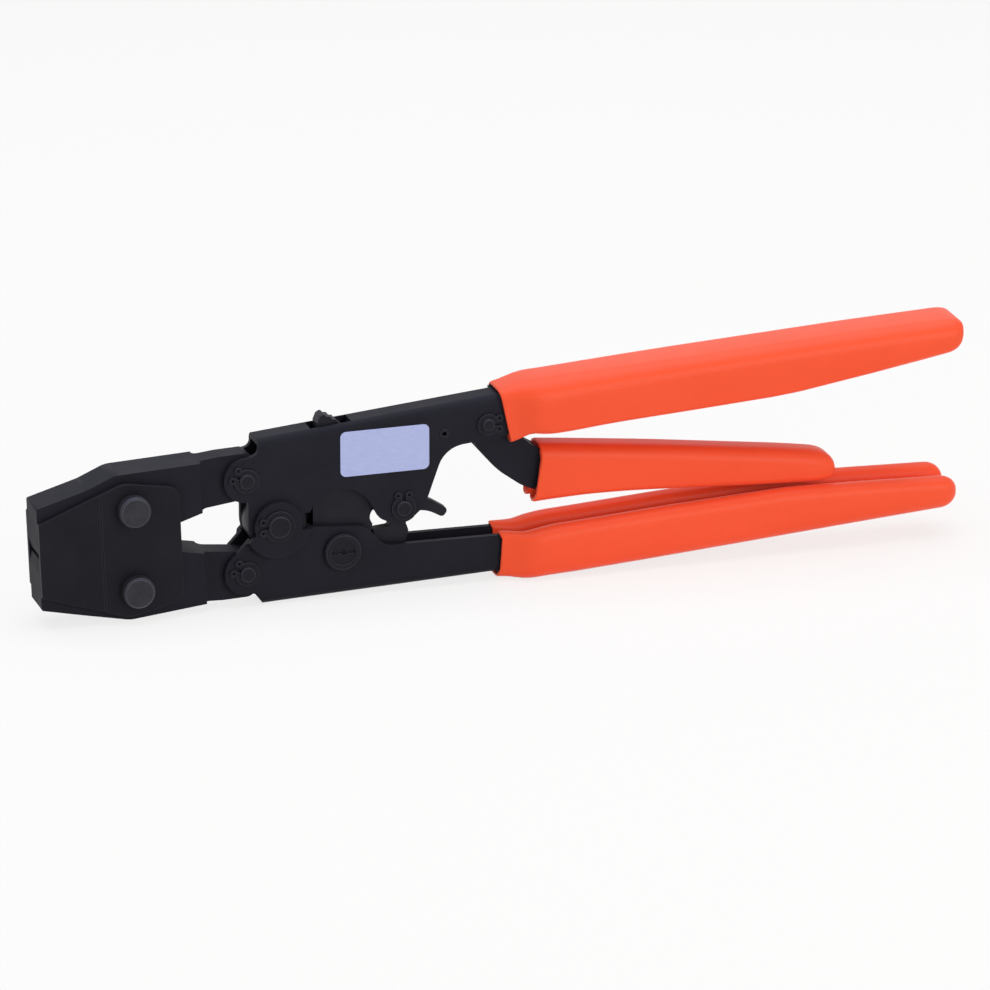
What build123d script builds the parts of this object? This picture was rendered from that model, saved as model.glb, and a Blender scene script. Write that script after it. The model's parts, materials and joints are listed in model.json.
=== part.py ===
from build123d import *
import os
from math import acos, asin, atan2, cos, degrees, hypot, radians, sin, sqrt, tan

# Hand ratchet tool that closes cinch clamps on plastic pipe.
# Millimetres. X runs from the jaw noses to the handle ends, Z is up and -Y is the near side.
# Every piece is modelled around the main pivot and the whole tool is moved to its own frame at the end.

# Sheet and clearances
sheet = 2.0
slip = 0.1
running = 0.05
open_pivot = 0.4
tooth_gap = 0.35
hub_gap = 0.3

# Pivot places
tail_pin_reach = 19.5
tail_pin_angle = 123.0
head_reach = 50.0
head_drop = 2.7
head_tilt = 2.0
rivet_spacing = 28.3
pawl_x = 43.9
pawl_z = 1.3
lever_back = 3.6
lever_drop = 9.3
anchor_back = 15.2
anchor_drop = 9.8
adjuster_x = 22.4
adjuster_z = -11.7
crank_angle = 110.0

# Jaws
jaw_thickness = 13.4
nose_reach = 32.3
nose_half_height = 17.8
nose_half_gap = 0.75
nose_bevel = 0.8
nose_bevel_height = 4.6
upper_knee_u = -14.8
upper_knee_height = 22.2
lower_knee_u = -17.0
lower_knee_height = 21.7
knee_radius = 12.0
upper_crown_u = -5.2
upper_crown_height = 25.95
lower_crown_u = -2.2
lower_crown_height = 25.3
crown_radius = 9.0
step_u = 24.4
step_fillet = 1.8
tail_end_radius = 7.1
tail_outer = 8.5
tail_crest = 9.0
tail_crest_length = 9.5
upper_tail_inner = 8.3
lower_tail_inner = 8.9
throat_u = 16.3
throat_inner = 11.2
lobe_half_width = 8.0
lobe_gap = 0.15
relief_height = 4.2
relief_front = 22.0
nose_tip_length = 5.6

# Jaw plates and rivets
plate_thickness = 2.3
plate_nose_height = 13.0
plate_crown_u = -3.0
plate_crown_height = 23.6
plate_rear = 16.1
plate_rear_height = 19.8
plate_corner = 4.5
plate_relief_u = -10.7
plate_relief = 0.5
rivet_radius = 4.2
rivet_head_radius = 5.4
rivet_head_height = 4.0
rivet_chamfer = 0.6

# Upper frame
channel_width = 12.0
frame_ear_radius = 7.7
frame_end_radius = 10.0
frame_front = 6.3
frame_web_height = 30.0
frame_web_angle = 5.1
frame_depth = 14.8
frame_front_depth = 5.0
bend_radius = 2.9
arch_x = 22.2
arch_z = -1.7
arch_radius = 11.8
lobe_radius = 5.2
notch_low_x = 52.3
notch_low_z = 3.4
notch_high_x = 58.6
notch_fillet = 10.0
slot_start = 12.4
slot_length = 14.2
slot_width = 7.0

# Flare and rear run shared by both channels
web_bend = 77.2
flare_start = 81.0
flare_length = 9.0
rear_half_width = 9.4
upper_rear_angle = 2.95
upper_rear_end = 234.0
lower_rear_angle = 3.75
lower_rear_end = 230.0

# Lower handle
handle_ear_radius = 7.7
pivot_ear_radius = 8.3
joggle_room = 0.5
joggle_wall = 0.9
joggle_slope = 2.2
handle_front = 4.8
handle_web_depth = 28.1
handle_web_angle = 1.86
handle_brow_x = 8.2
handle_brow_z = 3.0
handle_toe_x = 8.0
handle_toe_z = -23.8
shoulder_start = 12.0
shoulder_height = -2.2
shoulder_end = 30.6
shoulder_end_height = -3.8
rail_start = 37.4
rail_height = -11.5
rail_drop = 0.6

# Grips
grip_wall = 2.2
grip_top_wall = 3.9
grip_under_wall = 3.1
grip_front_wall = 1.7
grip_under_rim = 1.4
grip_groove = 12.0
grip_coat = 1.5
upper_grip_setback = 0.7
upper_grip_end = 242.8
lower_grip_setback = 0.3
lower_grip_end = 241.0
collar_drop = 1.9
collar_lean = 11.0
grip_bend = 180.0
upper_leg_front = 15.1
upper_leg_bend = 14.4
upper_leg_end = 6.8
lower_leg_front = 14.5
lower_leg_bend = 13.3
lower_leg_end = 7.6
grip_corner = 5.6
lever_grip_start = 92.2
lever_grip_end = 198.6
lever_grip_width = 14.0
lever_grip_wall = 2.2
lever_grip_edge = 2.2

# Ratchet parts
sector_hub_radius = 9.8
sector_radius = 34.0
sector_low_angle = -9.0
sector_high_angle = 37.0
hold_pitch = 2.0
hold_depth = 0.8
drive_radius = 24.5
drive_band = 6.6
drive_low_angle = 47.0
drive_high_angle = 97.0
drive_pitch = 2.2
drive_depth = 0.75
sector_edge = 13.0
sector_shelf_radius = 15.5
sector_shelf = 3.0
shelf_reach = 8.5
scallop_radius = 3.4
adjuster_boss_radius = 7.6

# Pawls, lever and their hubs
pawl_hub_radius = 5.0
pawl_hub_thickness = 3.4
finger_angle = -8.0
finger_bend = 9.8
finger_reach = 16.9
finger_top = 2.8
finger_under = 1.5
finger_drop = 3.6
finger_tip = 2.9
finger_seat = 7.8
lever_hub_radius = 6.0
lever_sheet = 1.6
lever_rear_width = 9.8
lever_flare_length = 5.0
lever_mouth = 5.0
lever_mouth_room = 1.2
lever_groove = 4.0
lever_neck = 3.2
lever_elbow = 4.0
lever_neck_drop = 8.9
lever_elbow_drop = 17.4
lever_elbow_radius = 30.0
lever_low_front = 26.2
lever_low_end = 31.0
lever_high_front = 12.6
lever_high_end = 25.6
lever_inset = 3.4
drive_thickness = 3.2
drive_eye_radius = 2.2
drive_bar_height = 3.0
tab_thickness = 5.6
tab_start = 15.0
tab_rise = 3.9

# Pins, clips and screw
main_pin_radius = 3.9
small_pin_radius = 2.7
lever_pin_radius = 2.2
crank_pin_radius = 1.0
anchor_pin_radius = 1.6
anchor_pin_bore = 0.8
clip_thickness = 0.9
clip_width = 1.5
groove_depth = 0.6
pin_overhang = 0.7
pin_head_height = 1.5
pin_head_rim = 1.6
screw_head_radius = 6.4
screw_head_height = 2.3
screw_shank_radius = 3.0
screw_throw = 0.5
screw_cam_rim = 0.2
screw_slot = 1.3

# Springs
lever_wire = 0.35
lever_coil_radius = 1.6
lever_coil_turns = 4
coil_gap = 0.5
lever_lug_x = -4.7
lever_lug_z = -4.4
lever_lug_radius = 1.9
lug_pin_radius = 0.8
pawl_wire = 0.3
pawl_coil_radius = 3.6
pawl_leg = 6.0
leaf_thickness = 0.4
leaf_width = 2.0
leaf_bow = 0.6

# Blank label
label_length = 31.0
label_height = 15.8
label_corner = 2.0
label_thickness = 0.3
label_back = 20.9
label_drop = 11.7
label_tilt = 0.0

# Values that follow from those above
half_width = channel_width / 2
inner_half = half_width - sheet
tail_thickness = 2 * (inner_half - slip)
sector_thickness = 2 * (inner_half - 2 * slip)
pawl_thickness = 2 * (inner_half - 3 * slip)
lever_thickness = 2 * (inner_half - 2 * slip)
ear_in = half_width + slip
ear_out = ear_in + sheet
tail_pin_up = (tail_pin_reach * cos(radians(tail_pin_angle)), tail_pin_reach * sin(radians(tail_pin_angle)))
tail_pin_down = (tail_pin_up[0], -tail_pin_up[1])
pawl_pin_at = (pawl_x, pawl_z)
adjuster_at = (adjuster_x, adjuster_z)
crank_reach = lever_pin_radius + drive_eye_radius + hub_gap
head_frame = Pos(-head_reach, 0, -head_drop) * Rot(0, -head_tilt, 0)
flare_end = flare_start + flare_length
upper_grip_start = web_bend + upper_grip_setback
lower_grip_start = web_bend + lower_grip_setback
groove_half = grip_groove / 2
cam_radius = screw_shank_radius + screw_throw + screw_cam_rim
plate_in = jaw_thickness / 2 + slip
plate_out = plate_in + plate_thickness


def polar(radius, angle):
    """Point at a distance and angle from the main pivot."""
    return (radius * cos(radians(angle)), radius * sin(radians(angle)))


def to_head(point):
    """A point of the tool in the frame of the jaw head."""
    x = point[0] + head_reach
    z = point[1] + head_drop
    c, s = cos(radians(head_tilt)), sin(radians(head_tilt))
    return (x * c + z * s, z * c - x * s)


def from_head(point):
    """A point of the jaw head in the frame of the tool."""
    c, s = cos(radians(head_tilt)), sin(radians(head_tilt))
    return (point[0] * c - point[1] * s - head_reach, point[0] * s + point[1] * c - head_drop)


def outline(*corners):
    """Closed side outline from corners, each with an optional corner radius."""
    points = [(c[0], c[1]) for c in corners]
    radii = [c[2] if len(c) > 2 else 0 for c in corners]
    return make_face(FilletPolyline(*points, radius=radii, close=True).edges())


def disc(center, radius):
    """Round side outline."""
    return Pos(center[0], center[1]) * Circle(radius)


def slab(shape, near, far):
    """Side outline given thickness between two Y planes."""
    return Pos(0, far, 0) * extrude(Plane.XZ * shape, amount=far - near)


def rod(center, radius, near, far):
    """Round bar across the tool between two Y planes."""
    return slab(disc(center, radius), near, far)


def plan(shape):
    """Plan outline carried through the whole height of the tool."""
    return extrude(shape, amount=120, both=True)


def both_sides(near_solid):
    """A near side solid and its mirror image on the far side."""
    return near_solid + mirror(near_solid, about=Plane.XZ)


def upper_web(x):
    """Height of the outer face of the upper web."""
    bend = min(x, web_bend)
    z = frame_web_height + (bend + frame_front) * tan(radians(frame_web_angle))
    return z + max(x - web_bend, 0) * tan(radians(upper_rear_angle))


def lower_web(x):
    """Height of the outer face of the lower web."""
    bend = min(x, web_bend)
    z = -handle_web_depth + (bend + handle_front) * tan(radians(handle_web_angle))
    return z + max(x - web_bend, 0) * tan(radians(lower_rear_angle))


lever_x = web_bend - lever_back
anchor_x = lever_x - anchor_back
label_x = anchor_x - label_back
lever_z = upper_web(lever_x) - lever_drop
anchor_z = upper_web(anchor_x) - anchor_drop
label_z = upper_web(label_x) - label_drop
lever_pin_at = (lever_x, lever_z)
anchor_at = (anchor_x, anchor_z)
lug_at = (lever_x + lever_lug_x, lever_z + lever_lug_z)
crank_lean = radians(crank_angle)
crank_at = (lever_x + crank_reach * cos(crank_lean), lever_z + crank_reach * sin(crank_lean))


def between(x, rows):
    """Value at x on a broken line through rows of (x, value), carried on past its ends."""
    for (x0, v0), (x1, v1) in zip(rows, rows[1:]):
        if x < x1 or x1 == rows[-1][0]:
            return v0 + (v1 - v0) * (x - x0) / (x1 - x0)


def channel_plan(front, rear, narrow, wide, shift):
    """Plan outline of a channel that flares from a narrow front to a wide rear run."""
    a = flare_start + shift
    b = flare_end + shift
    right = [(front, narrow), (a, narrow), (b, wide), (rear, wide)]
    left = [(x, -y) for x, y in reversed(right)]
    return make_face(Polyline(*right, *left, close=True).edges())


def bend_cutter(web, angle, up):
    """Corner waste outside the two bends between a web and its side plates."""
    start = -2 * frame_end_radius
    length = (web_bend - start) / cos(radians(angle))
    r = bend_radius
    waste = Rectangle(r + 1, r + 1, align=(Align.MIN, Align.MIN if up > 0 else Align.MAX))
    waste = Pos(half_width - r, -up * r) * waste
    waste -= Pos(half_width - r, -up * r) * Circle(r)
    direction = (cos(radians(angle)), 0, sin(radians(angle)))
    plane = Plane(origin=(start, 0, web(start)), x_dir=(0, 1, 0), z_dir=direction)
    far_side = extrude(plane * waste, amount=length)
    return both_sides(far_side)


# Jaws


def jaw_outline(tail, tail_inner, knee, crown):
    """Jaw in the head frame with its outer side towards +Y of the sketch."""
    u, v = tail
    crest_end = u + 0.2 * tail_end_radius
    lobe_centre = rivet_spacing / 2
    body = outline(
        (-nose_reach, nose_half_height, 0.8),
        (knee[0], knee[1], knee_radius),
        (crown[0], crown[1], crown_radius),
        (step_u, v + tail_outer),
        (crest_end - tail_crest_length, v + tail_crest, 6.0),
        (crest_end, v + tail_crest, 3.0),
        (u + 0.8 * tail_end_radius, v + 0.6 * tail_end_radius),
        (u, v - tail_end_radius),
        (step_u + 2, v - tail_inner),
        (throat_u, v - throat_inner),
        (lobe_half_width, relief_height - 1),
        (-lobe_half_width, relief_height),
        (-relief_front, relief_height, 2.5),
        (-nose_reach + nose_tip_length, nose_half_gap),
        (-nose_reach + nose_bevel, nose_half_gap),
        (-nose_reach, nose_bevel_height),
    )
    lobe = disc((0, lobe_centre), lobe_centre - lobe_gap)
    window = Pos(0, lobe_centre / 2) * Rectangle(2 * lobe_half_width, lobe_centre)
    return body + (lobe & window) + disc(tail, tail_end_radius)


def make_jaw(side, tail_pin, tail_clearance):
    """Upper jaw for side 1 and lower jaw for side -1, placed in the tool."""
    u, v = to_head(tail_pin)
    if side > 0:
        knee = (upper_knee_u, upper_knee_height)
        crown = (upper_crown_u, upper_crown_height)
        shape = jaw_outline((u, v), upper_tail_inner, knee, crown)
    else:
        knee = (lower_knee_u, lower_knee_height)
        crown = (lower_crown_u, lower_crown_height)
        shape = jaw_outline((u, -v), lower_tail_inner, knee, crown)
    shape -= disc((0, rivet_spacing / 2), rivet_radius + running)
    shape -= disc((u, side * v), small_pin_radius + tail_clearance)
    half = jaw_thickness / 2
    solid = slab(shape, -half, half)
    inner = tail_thickness / 2
    far_end = u + 2 * tail_end_radius
    step = outline((step_u, inner, step_fillet), (far_end, inner), (far_end, 2 * half), (step_u, 2 * half))
    cutter = plan(step)
    solid -= cutter
    solid -= mirror(cutter, about=Plane.XZ)
    if side < 0:
        solid = mirror(solid, about=Plane.XY)
    return head_frame * solid


def make_jaw_plate(side):
    """Near plate for side -1 and far plate for side 1."""
    half = [
        (-nose_reach, -plate_nose_height),
        (plate_crown_u, -plate_crown_height, 9.0),
        (plate_rear, -plate_rear_height, plate_corner),
        (plate_rear, plate_rear_height, plate_corner),
        (plate_crown_u, plate_crown_height, 9.0),
        (-nose_reach, plate_nose_height),
    ]
    shape = outline(*half)
    shape -= disc((0, rivet_spacing / 2), rivet_radius + running)
    shape -= disc((0, -rivet_spacing / 2), rivet_radius + running)
    solid = slab(shape, plate_in, plate_out)
    thin = plate_out - plate_relief
    front = -2 * nose_reach
    relief = Polyline(
        (front, thin),
        (plate_relief_u - plate_relief, thin),
        (plate_relief_u + plate_relief, plate_out + plate_relief),
        (front, plate_out + plate_relief),
        close=True,
    )
    solid -= plan(make_face(relief.edges()))
    if side < 0:
        solid = mirror(solid, about=Plane.XZ)
    return head_frame * solid


def make_jaw_rivet(side):
    """Headed rivet through both plates and one jaw."""
    center = (0, side * rivet_spacing / 2)
    end = plate_out + rivet_head_height
    solid = rod(center, rivet_radius, -end, end)
    head = rod(center, rivet_head_radius, plate_out, end)
    head = chamfer(head.edges().group_by(Axis.Y)[-1], rivet_chamfer)
    return head_frame * (solid + both_sides(head))


# Upper frame


def upper_side():
    """Side outline of the upper channel."""
    front = -frame_front
    web_front = upper_web(front)
    ear_top = tail_pin_up[1] + frame_ear_radius
    low = upper_web(notch_high_x) - frame_depth
    low_bend = upper_web(web_bend) - frame_depth
    rear_low = upper_grip_low(upper_rear_end) + grip_wall
    mid_x = grip_bend
    shape = outline(
        (-frame_end_radius, 0),
        (-frame_end_radius, tail_pin_up[1]),
        (tail_pin_up[0], ear_top),
        (front, web_front - frame_front_depth, 2.4),
        (front, web_front),
        (web_bend, upper_web(web_bend)),
        (upper_rear_end, upper_web(upper_rear_end)),
        (upper_rear_end, rear_low),
        (mid_x, upper_grip_low(mid_x) + grip_wall),
        (flare_end, upper_grip_low(flare_end) + grip_wall),
        (web_bend, low_bend),
        (notch_high_x, low, notch_fillet),
        (notch_low_x, notch_low_z, 1.0),
        (pawl_x + 5.8, pawl_z - 1.7, 2.0),
        (pawl_x + 2.6, pawl_z - 4.5),
        (pawl_x - 4.0, pawl_z - 5.2, 2.5),
        (pawl_x - 8.4, pawl_z - 2.9, 4.0),
        (arch_x + sqrt(arch_radius**2 - 4.7**2), arch_z + 4.7),
        (0, arch_z + 4.7),
        (0, 0),
    )
    shape += disc(tail_pin_up, frame_ear_radius)
    shape += disc((0, 0), frame_end_radius)
    shape += disc(pawl_pin_at, lobe_radius)
    return shape - disc((arch_x, arch_z), arch_radius)


def under_upper_web():
    """Side outline of the space below the upper web."""
    front = -3 * frame_end_radius
    rear = upper_rear_end + sheet
    drop = sheet / cos(radians(frame_web_angle))
    points = [
        (front, upper_web(front) - drop),
        (web_bend, upper_web(web_bend) - drop),
        (rear, upper_web(rear) - drop),
        (rear, -frame_web_height),
        (front, -frame_web_height),
    ]
    return make_face(Polyline(*points, close=True).edges())


def make_upper_frame():
    """Inverted channel that carries the ratchet parts and the upper grip."""
    front = -3 * frame_end_radius
    rear = upper_rear_end + sheet
    outer = channel_plan(front, rear, half_width, rear_half_width, 0)
    inner = channel_plan(front - 1, rear + 1, inner_half, rear_half_width - sheet, 0.4)
    solid = slab(upper_side(), -rear_half_width, rear_half_width) & plan(outer)
    solid -= bend_cutter(upper_web, frame_web_angle, 1)
    solid -= slab(under_upper_web(), -rear_half_width, rear_half_width) & plan(inner)
    slot_z = upper_web(slot_start)
    slot = Pos(slot_start + slot_length / 2, 0, slot_z) * Box(slot_length, slot_width, 6 * sheet)
    solid -= slot
    bores = disc((0, 0), main_pin_radius + running) + disc(tail_pin_up, small_pin_radius + running)
    bores += disc(pawl_pin_at, small_pin_radius + running)
    bores += disc(lever_pin_at, lever_pin_radius + running)
    bores += disc(anchor_at, anchor_pin_radius + running)
    return solid - slab(bores, -2 * half_width, 2 * half_width)


# Lower handle


def lower_side():
    """Side outline of the lower channel with its two ears."""
    rail_end = rail_height - rail_drop
    top_flare = lower_grip_high(flare_end) - grip_wall
    shape = outline(
        (-handle_brow_x, -handle_brow_z),
        (0, 0),
        (pivot_ear_radius, shoulder_height),
        (shoulder_start, shoulder_height, 1.5),
        (shoulder_end, shoulder_end_height, 5.0),
        (rail_start, rail_height, 6.0),
        (web_bend, rail_end),
        (flare_end, top_flare),
        (grip_bend, lower_grip_high(grip_bend) - grip_wall),
        (lower_rear_end, lower_grip_high(lower_rear_end) - grip_wall),
        (lower_rear_end, lower_web(lower_rear_end)),
        (web_bend, lower_web(web_bend)),
        (-handle_front, lower_web(-handle_front)),
        (-handle_toe_x, handle_toe_z, 1.2),
        (tail_pin_down[0], tail_pin_down[1] - handle_ear_radius * 0.9),
        (tail_pin_down[0] - 0.5 * handle_ear_radius, tail_pin_down[1] + 0.866 * handle_ear_radius),
    )
    shape += disc(tail_pin_down, handle_ear_radius)
    return shape + disc((0, 0), pivot_ear_radius)


def over_lower_web():
    """Side outline of the space above the lower web."""
    front = -3 * frame_end_radius
    rear = lower_rear_end + sheet
    rise = sheet / cos(radians(lower_rear_angle))
    points = [
        (front, lower_web(front) + rise),
        (web_bend, lower_web(web_bend) + rise),
        (rear, lower_web(rear) + rise),
        (rear, frame_web_height),
        (front, frame_web_height),
    ]
    return make_face(Polyline(*points, close=True).edges())


def make_lower_handle():
    """Upright channel with joggled ears at the main pivot."""
    front = -3 * frame_end_radius
    rear = lower_rear_end + sheet
    side = lower_side()
    room = frame_end_radius + joggle_room
    foot = room + joggle_wall + joggle_slope
    outer = channel_plan(front, rear, half_width, rear_half_width, 0)
    inner = channel_plan(front - 1, rear + 1, inner_half, rear_half_width - sheet, 0.4)
    solid = slab(side, -rear_half_width, rear_half_width) & plan(outer)
    solid -= bend_cutter(lower_web, handle_web_angle, -1)
    solid -= slab(over_lower_web(), -rear_half_width, rear_half_width) & plan(inner)
    solid -= rod((0, 0), room + joggle_wall / 2, -2 * half_width, 2 * half_width)
    height = ear_out - inner_half
    cone = Cone(foot, room + joggle_wall, height, align=(Align.CENTER, Align.CENTER, Align.MIN))
    blister = Pos(0, -inner_half, 0) * Rot(90, 0, 0) * cone
    blister &= slab(side, -2 * half_width, 0)
    blister -= rod((0, 0), room, -ear_in, 0)
    solid += both_sides(blister)
    bores = disc((0, 0), main_pin_radius + running) + disc(tail_pin_down, small_pin_radius + running)
    bores += disc(adjuster_at, screw_shank_radius + running)
    return solid - slab(bores, -2 * half_width, 2 * half_width)


# Grips


def upper_grip_high(x):
    """Top of the upper grip."""
    return upper_web(x) + grip_top_wall


def upper_grip_low(x):
    """Bottom of the legs of the upper grip."""
    rows = [(flare_end, upper_leg_front), (grip_bend, upper_leg_bend), (upper_grip_end, upper_leg_end)]
    return upper_web(x) - between(x, rows)


def lower_grip_high(x):
    """Crest of the legs of the lower grip."""
    rows = [(flare_end, lower_leg_front), (grip_bend, lower_leg_bend), (lower_grip_end, lower_leg_end)]
    return lower_web(x) + between(x, rows)


def lower_grip_low(x):
    """Underside of the lower grip."""
    return lower_web(x) - grip_under_wall


def section(x, low, high, half, corner, lean):
    """Rounded cross section of a grip, leaned over in the side view."""
    middle = (low + high) / 2
    normal = (cos(radians(lean)), 0, sin(radians(lean)))
    plane = Plane(origin=(x, 0, middle), x_dir=(0, 1, 0), z_dir=normal)
    return plane * RectangleRounded(2 * half, high - low, min(corner, 0.45 * (high - low), 0.9 * half))


def sleeve(stations):
    """Grip body through a row of cross sections."""
    return loft([section(*s) for s in stations], ruled=True)


def groove_plan(rear):
    """Plan outline of the open groove between the legs of a grip."""
    a = flare_start + sheet
    b = flare_end + sheet
    front = flare_start / 2
    right = [(front, inner_half), (a, inner_half), (b, groove_half), (rear, groove_half)]
    left = [(x, -y) for x, y in reversed(right)]
    return make_face(Polyline(*right, *left, close=True).edges())


def make_upper_grip(frame):
    """Dipped sleeve over the rear run of the upper channel."""
    wide = rear_half_width + grip_wall
    thin = half_width + grip_front_wall
    x0 = upper_grip_start
    x1 = flare_start
    x2 = flare_end + 2
    end = upper_grip_end
    tip = upper_grip_low(flare_end) - collar_drop
    body = sleeve([
        (x0 + 1.4, tip, upper_web(x0) + 0.5, thin, 2.6, collar_lean),
        (x1, tip + 0.2, upper_web(x1) + 1.2, thin + 0.3, 3.0, 0.7 * collar_lean),
        (flare_end - 2, upper_grip_low(flare_end), upper_grip_high(flare_end) - 0.5, wide - 1.4, 4.4, 3),
        (x2, upper_grip_low(x2), upper_grip_high(x2), wide, grip_corner, 0),
        (grip_bend, upper_grip_low(grip_bend), upper_grip_high(grip_bend), wide, grip_corner, 0),
        (end - 18, upper_grip_low(end - 18), upper_grip_high(end - 18), wide, grip_corner, 0),
        (end - 5, upper_grip_low(end - 5), upper_grip_high(end - 5) - 0.4, wide - 0.5, grip_corner, 0),
        (end - 1.4, upper_grip_low(end - 1.4) + 1.6, upper_grip_high(end - 1.4) - 2.4, wide - 2.2, 3.0, 0),
        (end, upper_grip_low(end) + 3.4, upper_grip_high(end) - 4.2, wide - 3.8, 1.1, 0),
    ])
    rear = upper_grip_end + sheet
    drop = sheet + grip_coat
    front = flare_start / 2
    top = [(front, upper_web(front) - sheet / 2), (flare_start, upper_web(flare_start) - sheet / 2)]
    top += [(flare_end + 2, upper_web(flare_end + 2) - drop), (rear, upper_web(rear) - drop)]
    points = [*top, (rear, 0), (front, 0)]
    groove = slab(make_face(Polyline(*points, close=True).edges()), -groove_half, groove_half)
    body -= groove & plan(groove_plan(rear))
    return body - frame


def make_lower_grip(handle):
    """Dipped sleeve over the rear run of the lower channel."""
    wide = rear_half_width + grip_wall
    thin = half_width + grip_front_wall
    x0 = lower_grip_start
    x1 = flare_start
    x2 = flare_end + 2
    x3 = flare_end - 2
    end = lower_grip_end
    rail = rail_height - rail_drop
    body = sleeve([
        (x0, lower_web(x0) - grip_under_rim + 0.1, rail + grip_front_wall, thin, 2.4, 0),
        (x1, lower_web(x1) - grip_under_rim, rail + 1.2, thin + 0.3, 3.0, 0),
        (x3, lower_grip_low(flare_end) + 0.6, lower_grip_high(flare_end) - 0.6, wide - 1.4, 4.4, 0),
        (x2, lower_grip_low(x2), lower_grip_high(x2), wide, grip_corner, 0),
        (grip_bend, lower_grip_low(grip_bend), lower_grip_high(grip_bend), wide, grip_corner, 0),
        (end - 13, lower_grip_low(end - 13), lower_grip_high(end - 13), wide, grip_corner, 0),
        (end - 5, lower_grip_low(end - 5) + 0.4, lower_grip_high(end - 5) - 0.4, wide - 0.5, 4.6, 0),
        (end - 1.4, lower_grip_low(end - 1.4) + 2.0, lower_grip_high(end - 1.4) - 1.8, wide - 2.2, 2.6, 0),
        (end, lower_grip_low(end) + 4.0, lower_grip_high(end) - 3.4, wide - 3.8, 1.1, 0),
    ])
    rear = lower_grip_end + sheet
    rise = sheet + grip_coat
    front = flare_start / 2
    low = [(front, lower_web(front) + sheet / 2), (flare_start, lower_web(flare_start) + sheet / 2)]
    low += [(flare_end + 2, lower_web(flare_end + 2) + rise), (rear, lower_web(rear) + rise)]
    points = [*low, (rear, frame_web_height), (front, frame_web_height)]
    groove = slab(make_face(Polyline(*points, close=True).edges()), -groove_half, groove_half)
    body -= groove & plan(groove_plan(rear))
    return body - handle


# Squeeze lever


def lever_low(x):
    """Lower edge of the rear run of the lever."""
    return lever_z - between(x, [(lever_grip_start, lever_low_front), (lever_grip_end, lever_low_end)])


def lever_high(x):
    """Upper edge of the rear run of the lever."""
    return lever_z - between(x, [(lever_grip_start, lever_high_front), (lever_grip_end, lever_high_end)])


def lever_side():
    """Side outline of the squeeze lever."""
    hub_left = lever_x - lever_hub_radius
    hub_right = lever_x + lever_hub_radius
    start = lever_grip_start
    end = lever_grip_end - lever_inset
    bend_x = (lever_x + lever_elbow + start) / 2 + 1.4
    shape = outline(
        (lever_x, lever_z),
        (hub_left + 0.2, lever_z - 2.0),
        (lever_x - lever_neck, lever_z - lever_neck_drop),
        (lever_x + lever_elbow, lever_z - lever_elbow_drop, lever_elbow_radius),
        (bend_x, lever_low(start) + 2.4, lever_elbow_radius / 2),
        (start, lever_low(start)),
        (end, lever_low(end), 2.5),
        (end, lever_high(end), 2.5),
        (start + 3, lever_high(start + 3)),
        (start - 3.2, lever_high(start) + 3.4),
        (hub_right + 6.0, lever_z - lever_neck_drop * 0.65, 6.0),
        (hub_right - 0.4, lever_z + 1.0),
    )
    return shape + disc(lever_pin_at, lever_hub_radius)


def lever_plan(half, rear_half):
    """Plan outline of the lever, from its narrow front to its wide rear run."""
    a = lever_grip_start + lever_mouth
    b = a + lever_flare_length
    rear = lever_grip_end + lever_mouth
    right = [(lever_x / 2, half), (a, half), (b, rear_half), (rear, rear_half)]
    left = [(x, -y) for x, y in reversed(right)]
    return make_face(Polyline(*right, *left, close=True).edges())


def lever_hollow():
    """Side outline of the space between the cheeks of the lever and below its web."""
    start, end = lever_grip_start, lever_grip_end
    hub_right = lever_x + lever_hub_radius
    far = 2 * lever_elbow_drop
    points = [
        (lever_x - far, lever_z + far),
        (hub_right + 0.6, lever_z + far),
        (hub_right + 0.6, lever_z - 3.0),
        (hub_right + 5.0, lever_z - lever_neck_drop * 0.65 - lever_sheet),
        (start - 4.2, lever_high(start) + 3.4 - 1.2 * lever_sheet),
        (start + 3, lever_high(start + 3) - lever_sheet),
        (end, lever_high(end) - lever_sheet),
        (end, lever_z - 2 * far),
        (lever_x - far, lever_z - 2 * far),
    ]
    return make_face(Polyline(*points, close=True).edges())


def make_squeeze_lever():
    """Pressed lever: two cheeks on the pin, joined by a web behind the neck and spread under the grip."""
    half = lever_thickness / 2
    rear = lever_rear_width / 2
    shape = lever_side() + disc(lug_at, lever_lug_radius)
    solid = slab(shape, -rear, rear) & plan(lever_plan(half, rear))
    inner = plan(lever_plan(half - lever_sheet, rear - lever_sheet))
    solid -= slab(lever_hollow(), -rear, rear) & inner
    bores = disc(lever_pin_at, lever_pin_radius + running) + disc(crank_at, crank_pin_radius + running)
    bores += disc(lug_at, lug_pin_radius + running)
    return solid - slab(bores, -half, half)


def lever_grip_side():
    """Side outline of the lever grip."""
    start, end = lever_grip_start, lever_grip_end
    wall = lever_grip_wall
    third = (end - start) / 3
    return outline(
        (start - 1.9, lever_low(start) - wall - 1.2, 2.3),
        (start + 0.35 * third, lever_low(start + 0.35 * third) - wall + 0.5, 30.0),
        (start + 1.0 * third, lever_low(start + third) - wall + 0.8, 60.0),
        (end - 5.0, lever_low(end - 5.0) - wall, 4.0),
        (end, lever_low(end) + 0.6, 2.6),
        (end - 1.0, lever_high(end) - 1.0, 3.5),
        (end - 10.0, lever_high(end - 10.0) + wall, 12.0),
        (start + 1.8 * third, lever_high(start + 1.8 * third) + wall + 0.7, 60.0),
        (start - 0.6, lever_high(start) + wall + 1.2, 3.5),
        (start - 0.1, lever_low(start) + 2.0, 8.0),
    )


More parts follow.
